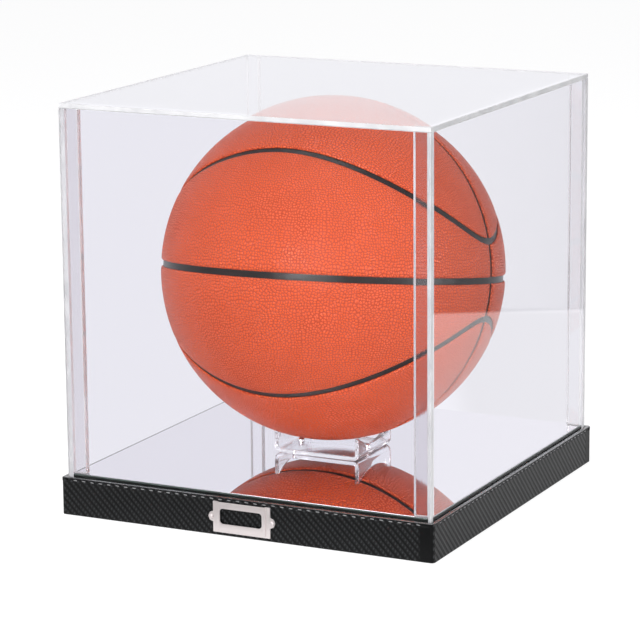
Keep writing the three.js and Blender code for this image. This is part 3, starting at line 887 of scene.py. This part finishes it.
def make_valve(place):
    """A plug with a rolled lip and a needle hole."""
    top = SEAM_FLOOR + VALVE_PROUD
    profile = [(0.0, top - VALVE_LENGTH), (VALVE_RADIUS, top - VALVE_LENGTH)]
    profile += arc((VALVE_RADIUS - VALVE_LIP, top - VALVE_LIP), VALVE_LIP, 0, 90, 5)
    profile += [(VALVE_HOLE + 0.45, top - 0.12)]
    profile += arc((VALVE_HOLE + 0.3, top - 0.45), 0.3, 90, 180, 4)
    profile += [(VALVE_HOLE * 0.8, top - 5), (0.0, top - 5.4)]
    mesh = turned_mesh("needle_valve", profile, 40, place @ turned_about("X", -90))
    add_piece("needle_valve", mesh, rubber, "ball_rubber", "ball", "ball_valve")


# The cover


def make_sheet(name, node, material, thin_axes, glued=0):
    """A sheet or rod with softened edges. The faces across the given axes are clear and the
    others polished. The face glued to a side wall, at +X or -X, is pale."""
    low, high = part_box(node)
    work = bmesh.new()
    bmesh.ops.create_cube(work, size=1.0)
    for vert in work.verts:
        vert.co = Vector(low[k] + (high[k] - low[k]) * (vert.co[k] + 0.5) for k in range(3))
    bmesh.ops.bevel(work, geom=work.edges[:], offset=SHEET_EDGE * MM, segments=2, profile=0.5,
                    affect="EDGES")
    mesh = bpy.data.meshes.new(name)
    work.to_mesh(mesh)
    work.free()
    add_piece(name, mesh, material, "clear_acrylic", "cover", node)
    mesh.materials.append(polished_edge)
    mesh.materials.append(glued_face)
    for face in mesh.polygons:
        clear = any(abs(face.normal[axis]) > 0.999 for axis in thin_axes)
        face.material_index = 0 if clear else 1
        if face.normal.x * glued > 0.999:
            face.material_index = 2


def make_cover():
    for side, axis in (("front", 1), ("back", 1), ("left", 0), ("right", 0)):
        make_sheet(f"wall_{side}", f"cover_{side}", panel_acrylic, (axis,))
    make_sheet("lid", "cover_lid", panel_acrylic, (2,))
    for depth in ("front", "back"):
        for side in ("left", "right"):
            make_sheet(f"corner_post_{depth}_{side}", f"corner_rod_{depth}_{side}",
                       rod_acrylic if depth == "front" else polished_acrylic,
                       (0, 1), 1 if side == "right" else -1)


# The cradle and what is screwed and pinned to the base


def cradle_ring(y, inset, low, high):
    """The bent sheet's section at one place along Y, drawn in by an inset at its two ends."""
    half = CRADLE_SHEET / 2 - inset
    reach = (high.x - low.x) / 2 / MM
    middle = low.z / MM + CRADLE_SHEET / 2
    bend = CRADLE_BEND + CRADLE_SHEET / 2
    top = high.z / MM
    chord = (high.y - low.y) / 2 / MM - CRADLE_TIP
    if abs(y) < chord:
        scoop = (chord ** 2 + CRADLE_SAG ** 2) / (2 * CRADLE_SAG)
        top += scoop - CRADLE_SAG - math.sqrt(scoop ** 2 - y ** 2)
    top -= inset
    edge = max(CRADLE_EDGE - inset, 0.02)
    corner = (reach - CRADLE_SHEET / 2 - bend, middle + bend)
    flange = reach - CRADLE_SHEET / 2

    def side(offset):
        return arc(corner, bend + offset, -90, 0, 10)

    outer = side(half) + arc((flange + half - edge, top - edge), edge, 0, 90, 4)
    inner = arc((flange - half + edge, top - edge), edge, 90, 180, 4) + side(-half)[::-1]
    right = outer + inner
    left = [(-x, z) for x, z in right[::-1]]
    return [(x, y, z) for x, z in right + left]


def make_cradle():
    low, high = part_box("cradle")
    end = (high.y - low.y) / 2 / MM
    chord = end - CRADLE_TIP
    turns = [math.radians(90 * i / 4) for i in range(1, 5)]
    inner = [(-chord + 2 * chord * i / 60, 0.0) for i in range(61)]
    stations = [(-end, CRADLE_EDGE)]
    stations += [(-end + CRADLE_EDGE * (1 - math.cos(a)), CRADLE_EDGE * (1 - math.sin(a)))
                 for a in turns]
    stations += inner
    stations += [(-y, inset) for y, inset in stations[4::-1]]
    rings = [cradle_ring(y, inset, low, high) for y, inset in stations]
    points, faces = loft(rings)
    mesh = mesh_from("bent_cradle", points, faces, 30)
    cutters = []
    for x in (-SCREW_REACH, SCREW_REACH):
        rod = [(0, SCREW_HOLE_FROM), (SCREW_HOLE, SCREW_HOLE_FROM),
               (SCREW_HOLE, SCREW_HOLE_TO), (0, SCREW_HOLE_TO)]
        cutters.append(turned_mesh("hole", rod, 40, Matrix.Translation((x, 0, 0))))
    mesh = carved(mesh, cutters)
    tidy_mesh(mesh, 30)
    add_piece("bent_cradle", mesh, polished_acrylic, "clear_acrylic", "base", "cradle")


def make_screws():
    """Roundhead screws with a thread and a crossed recess."""
    for side in ("left", "right"):
        low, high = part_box(f"cradle_screw_{side}")
        centre = Matrix.Translation(((low.x + high.x) / 2 / MM, (low.y + high.y) / 2 / MM, 0))
        head = high.z / MM
        seat = head - SCREW_HEAD_HEIGHT
        rim_top = seat + SCREW_RIM_HEIGHT
        tip = low.z / MM

        def thread_wave(turn, height):
            phase = (height / SCREW_PITCH - turn / (2 * math.pi)) % 1
            rise = max(0.0, 1 - abs(phase - 0.5) / 0.3)
            grip = min(1.0, max(0.0, (seat - 2.4 - height) / 0.8))
            grip *= min(1.0, (height - tip) / 2.5)
            return 0.30 * rise * grip - 0.06 * grip

        point = tip + SCREW_POINT
        shank = [(0.0, tip), (SCREW_POINT_RADIUS, point)]
        steps = 96
        for i in range(1, steps + 1):
            height = point + (seat - point) * i / steps
            taper = SCREW_POINT_RADIUS + (height - point) * 0.45
            shank.append((min(SCREW_SHANK_RADIUS, taper), height))
        rim = [(2.65, seat), (2.78, seat + 0.12)]
        crown = dome(SCREW_HEAD_RADIUS, rim_top, head)
        mesh = turned_mesh(f"screw_{side}", shank + rim + crown, 48, centre, thread_wave)
        cutters = []
        for turn_deg in RECESS_TURNS_DEG:
            bar = []
            for height, reach, width in ((head - RECESS_DEPTH, 0.7, 0.28), (head + 1, 1.9, 0.5)):
                bar.append([(sx * reach, sy * width, height)
                            for sx, sy in ((-1, -1), (1, -1), (1, 1), (-1, 1))])
            points, faces = loft(bar)
            place = centre @ turned_about("Z", turn_deg)
            cutters.append(mesh_from("recess", moved(points, place), faces))
        mesh = carved(mesh, cutters)
        tidy_mesh(mesh, 35)
        add_piece(f"screw_{side}", mesh, bright_steel, "screw_steel", "base",
                  f"cradle_screw_{side}")


def clean_copy(node):
    """A node's own mesh in a new one, its flat faces joined."""
    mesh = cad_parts[node].data.copy()
    work = bmesh.new()
    work.from_mesh(mesh)
    bmesh.ops.remove_doubles(work, verts=work.verts, dist=1e-6)
    bmesh.ops.dissolve_limit(work, angle_limit=math.radians(1), verts=work.verts, edges=work.edges)
    work.to_mesh(mesh)
    work.free()
    return mesh


def make_label_holder():
    """The stamped card frame with soft edges."""
    body = on_scene("unbevelled", clean_copy("label_holder"))
    soft = body.modifiers.new("soft", "BEVEL")
    soft.width = HOLDER_EDGE * MM
    soft.segments = 3
    soft.limit_method = "ANGLE"
    soft.angle_limit = math.radians(40)
    mesh = evaluated(body)
    tidy_mesh(mesh, 40)
    add_piece("card_frame", mesh, nickel, "nickel", "base", "label_holder")


def make_pins():
    """Round-headed pins through the card frame's ears."""
    for side in ("left", "right"):
        low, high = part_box(f"label_pin_{side}")
        centre = ((low.x + high.x) / 2 / MM, low.y / MM, (low.z + high.z) / 2 / MM)
        place = Matrix.Translation(centre) @ turned_about("X", 90)
        depth = (high.y - low.y) / MM
        crown = dome(PIN_HEAD_RADIUS, -PIN_HEAD_HEIGHT, 0.0)
        profile = [(0.0, -depth), (0.3, -depth + 0.5), (PIN_SHANK_RADIUS, -depth + 1.2),
                   (PIN_SHANK_RADIUS, -PIN_HEAD_HEIGHT)]
        mesh = turned_mesh(f"round_pin_{side}", profile + crown, 36, place)
        add_piece(f"round_pin_{side}", mesh, nickel, "nickel", "base", f"label_pin_{side}")


def base_sides():
    """The base's sides, each with its number and the turn that brings the front to it."""
    for quarter, side in enumerate(("front", "right", "back", "left")):
        yield quarter, side, turned_about("Z", 90 * quarter)


def make_wraps():
    """The leatherette strips, dipped where the hem is sewn."""
    middle = -(BASE_HALF + TROUGH_RADIUS - TROUGH_DEPTH)
    last = 360 - 360 / TROUGH_FACETS
    spots = arc((middle, STITCH_HEIGHT), TROUGH_RADIUS, 0, last, TROUGH_FACETS - 1)
    points, faces = loft([[(x, y, z) for y, z in spots] for x in (-TROUGH_REACH, TROUGH_REACH)])
    for _, side, turn in base_sides():
        trough = mesh_from("trough", moved(points, turn), faces)
        mesh = carved(clean_copy(f"wrap_{side}"), [trough])
        tidy_mesh(mesh, 30)
        add_piece(f"carbon_wrap_{side}", mesh, leatherette, "leatherette", "base", f"wrap_{side}")


def make_stitches():
    """The hem's stitches, one piece for each side of the base."""
    count = int(2 * (BASE_HALF - STITCH_MARGIN) / STITCH_PITCH) + 1
    start = -(count - 1) * STITCH_PITCH / 2
    for quarter, side, turn in base_sides():
        points, faces = [], []
        for k in range(count):
            lean = math.radians(STITCH_LEAN_DEG + 2.0 * math.sin(2.3 * k + quarter))
            centre = (start + k * STITCH_PITCH, STITCH_HEIGHT + 0.06 * math.sin(1.7 * k))
            rings = []
            for s in range(STITCH_SEGMENTS + 1):
                share = s / STITCH_SEGMENTS * 2 - 1
                swell = math.sqrt(max(1 - abs(share) ** 3, 0.02))
                sink = BASE_HALF - 0.03 - STITCH_RADIUS - 0.28 * share ** 4
                ring = []
                for t in range(STITCH_FACETS):
                    angle = 2 * math.pi * t / STITCH_FACETS
                    out = sink + STITCH_RADIUS * swell * math.cos(angle)
                    rise = STITCH_RADIUS * swell * math.sin(angle)
                    along = share * STITCH_LENGTH / 2
                    x = centre[0] + along * math.cos(lean) - rise * math.sin(lean)
                    z = centre[1] + along * math.sin(lean) + rise * math.cos(lean)
                    ring.append(turn @ Vector((x, -out, z)))
                rings.append(ring)
            stitch_points, stitch_faces = loft(rings)
            faces += [tuple(index + len(points) for index in face) for face in stitch_faces]
            points += stitch_points
        mesh = mesh_from(f"hem_stitches_{side}", points, faces, 60)
        add_piece(f"hem_stitches_{side}", mesh, thread, "leatherette", "base")


# Stage: camera, floor, lamps and surroundings


def make_camera():
    data = bpy.data.cameras.new("camera")
    data.sensor_width = 36.0
    data.lens = CAMERA_LENS
    data.clip_end = 100.0
    camera = on_scene("camera", data)
    camera.matrix_world = (Matrix.Translation(CAMERA_TARGET)
                           @ turned_about("Z", CAMERA_AZIMUTH_DEG)
                           @ turned_about("X", 90 - CAMERA_ELEVATION_DEG)
                           @ Matrix.Translation((0, 0, CAMERA_DISTANCE))
                           @ turned_about("Z", CAMERA_ROLL_DEG))
    bpy.context.scene.camera = camera


def reflected_ray(tree):
    """The ray's facts, then 1 for rays that a surface mirrors, also off the far side of one
    clear panel, and 1 for rays that only pass through clear panels. A ray that a dull surface
    has scattered isn't counted as mirrored."""
    ray = add_node(tree, "ShaderNodeLightPath").outputs
    shallow = calc(tree, "LESS_THAN", ray["Transmission Depth"], 3.0)
    turned_back = calc(tree, "GREATER_THAN", ray["Glossy Depth"], 0.5)
    near = product(tree, ray["Is Transmission Ray"], shallow, turned_back)
    deep = calc(tree, "SUBTRACT", ray["Is Transmission Ray"], near)
    mirrored = calc(tree, "MAXIMUM", calc(tree, "SUBTRACT", ray["Is Glossy Ray"], deep), near)
    seen = calc(tree, "LESS_THAN", ray["Diffuse Depth"], 0.5)
    return ray, product(tree, mirrored, seen), deep


def run_along(tree, x, y, x_share, y_share):
    """How far a spot of the table lies in one direction, in metres."""
    return calc(tree, "MULTIPLY_ADD", x, x_share, product(tree, y, y_share))


def table_in_mirrors(tree, x, y):
    """The table that shiny faces show: pale, but dark in front of the case and far behind it."""
    beyond = run_along(tree, x, y, 0.53, 0.85)
    far = between(tree, beyond, 0.705, 0.72)
    front = between(tree, y, -0.21, -0.15)
    table = mix_colour(tree, far, (0.95, 0.95, 0.96), (0.10, 0.10, 0.10))
    return mix_colour(tree, front, (0.08, 0.08, 0.08), table)


def table_through_panels(tree, x, y):
    """The table behind the clear panels, in four plain tones with soft borders. The tones are
    painted light and shade: darker in the patch seen through the lid and on the near right,
    brighter further to the right.
    """
    behind = between(tree, y, 1.555, 1.575)
    # Painted shade: the patch of table seen through the lid is darker.
    painted_lid_shade = product(tree, behind, between(tree, x, -0.636, -0.616, 1.0, 0.0))
    across = run_along(tree, x, y, 0.896, 0.444)
    along = run_along(tree, x, y, -0.443, 0.896)
    # Painted light and shade: the right side is darker near the case and brighter beyond it.
    bright = between(tree, along, 0.57, 0.61)
    right = mix_colour(tree, bright, (0.81, 0.80, 0.84), (1.09, 1.08, 1.12))
    near = mix_colour(tree, between(tree, across, 0.085, 0.115), SEEN_THROUGH, right)
    return mix_colour(tree, painted_lid_shade, near, (0.70, 0.695, 0.73))


def make_floor():
    """A plain pale table that keeps the case's shadow."""
    reach = 8.0
    corners = [(-reach, -reach, 0), (reach, -reach, 0), (reach, reach, 0), (-reach, reach, 0)]
    mesh = bpy.data.meshes.new("table")
    mesh.from_pydata(corners, [], [(0, 1, 2, 3)])
    floor = on_scene("table", mesh)
    floor.location.z = -0.0002
    made, tree, place = new_material("pale table")
    ray, mirrored, deep = reflected_ray(tree)
    x, y, _ = split(tree, place)
    faint = wired(tree, "ShaderNodeBsdfDiffuse", {"Color": (0.35, 0.35, 0.35, 1)})
    lift = wired(tree, "ShaderNodeEmission", {"Color": (1, 1, 1, 1), "Strength": 0.80})
    white = wired(tree, "ShaderNodeAddShader", {0: faint, 1: lift})
    image = wired(tree, "ShaderNodeEmission", {"Color": table_in_mirrors(tree, x, y)})
    behind = wired(tree, "ShaderNodeEmission", {"Color": table_through_panels(tree, x, y)})
    shader = wired(tree, "ShaderNodeBsdfDiffuse", {"Color": (0.80, 0.80, 0.80, 1)})
    for factor, other in ((mirrored, image), (deep, behind), (ray["Is Camera Ray"], white)):
        shader = mix_shaders(tree, factor, shader, other)
    mesh.materials.append(shaded(made, shader))


def make_world():
    world = bpy.data.worlds.new("studio")
    world.use_nodes = True
    bpy.context.scene.world = world
    tree = world.node_tree
    tree.nodes.clear()
    ray, mirrored, deep = reflected_ray(tree)
    way = add_node(tree, "ShaderNodeTexCoord").outputs["Generated"]
    height = split(tree, way)[2]
    above_table = between(tree, height, -0.02, 0.08)
    overhead = between(tree, height, 0.35, 0.75)
    bright = mix_colour(tree, overhead, (1.0, 1.0, 1.03), (0.7, 0.7, 0.72))
    walls = mix_colour(tree, above_table, (0.5, 0.5, 0.5), bright)
    colour = mix_colour(tree, mirrored, (0.44, 0.44, 0.45), walls)
    colour = mix_colour(tree, deep, colour, SEEN_THROUGH)
    colour = mix_colour(tree, ray["Is Camera Ray"], colour, (1, 1, 1))
    sky = wired(tree, "ShaderNodeBackground", {"Color": colour, "Strength": 1.0})
    add_node(tree, "ShaderNodeOutputWorld", {"Surface": sky})


def make_lamp(name, place, aim, size, power):
    data = bpy.data.lights.new(name, "AREA")
    data.shape = "RECTANGLE"
    data.size, data.size_y = size
    data.energy = power
    lamp = on_scene(name, data)
    lamp.location = place
    lamp.rotation_euler = (Vector(aim) - Vector(place)).to_track_quat("-Z", "Y").to_euler()
    lamp.visible_camera = False
    return lamp


def make_stage():
    make_camera()
    make_floor()
    make_world()
    front = make_lamp("front softbox", (0.40, -2.10, 0.82), (0, 0, 0.15), (1.4, 1.0), 34.0)
    front.visible_glossy = False
    make_lamp("small front lamp", (0.07, -1.95, 0.71), (0, 0, 0.15), (0.34, 0.34), 9.0)
    make_lamp("top softbox", (-0.1, -0.3, 1.7), (0, 0, 0.2), (1.2, 1.2), 9.0)
    make_lamp("right softbox", (2.1, 0.05, 0.40), (0, 0, 0.10), (0.9, 0.9), 19.0)
    scene = bpy.context.scene
    scene.view_settings.view_transform = "Standard"
    scene.cycles.max_bounces = RAY_BOUNCES
    scene.cycles.transmission_bounces = RAY_BOUNCES
    scene.cycles.glossy_bounces = RAY_BOUNCES
    scene.cycles.transparent_max_bounces = RAY_BOUNCES


make_stage()
dress_cad_nodes()
make_ball()
make_cover()
make_cradle()
make_screws()
make_label_holder()
make_pins()
make_wraps()
make_stitches()
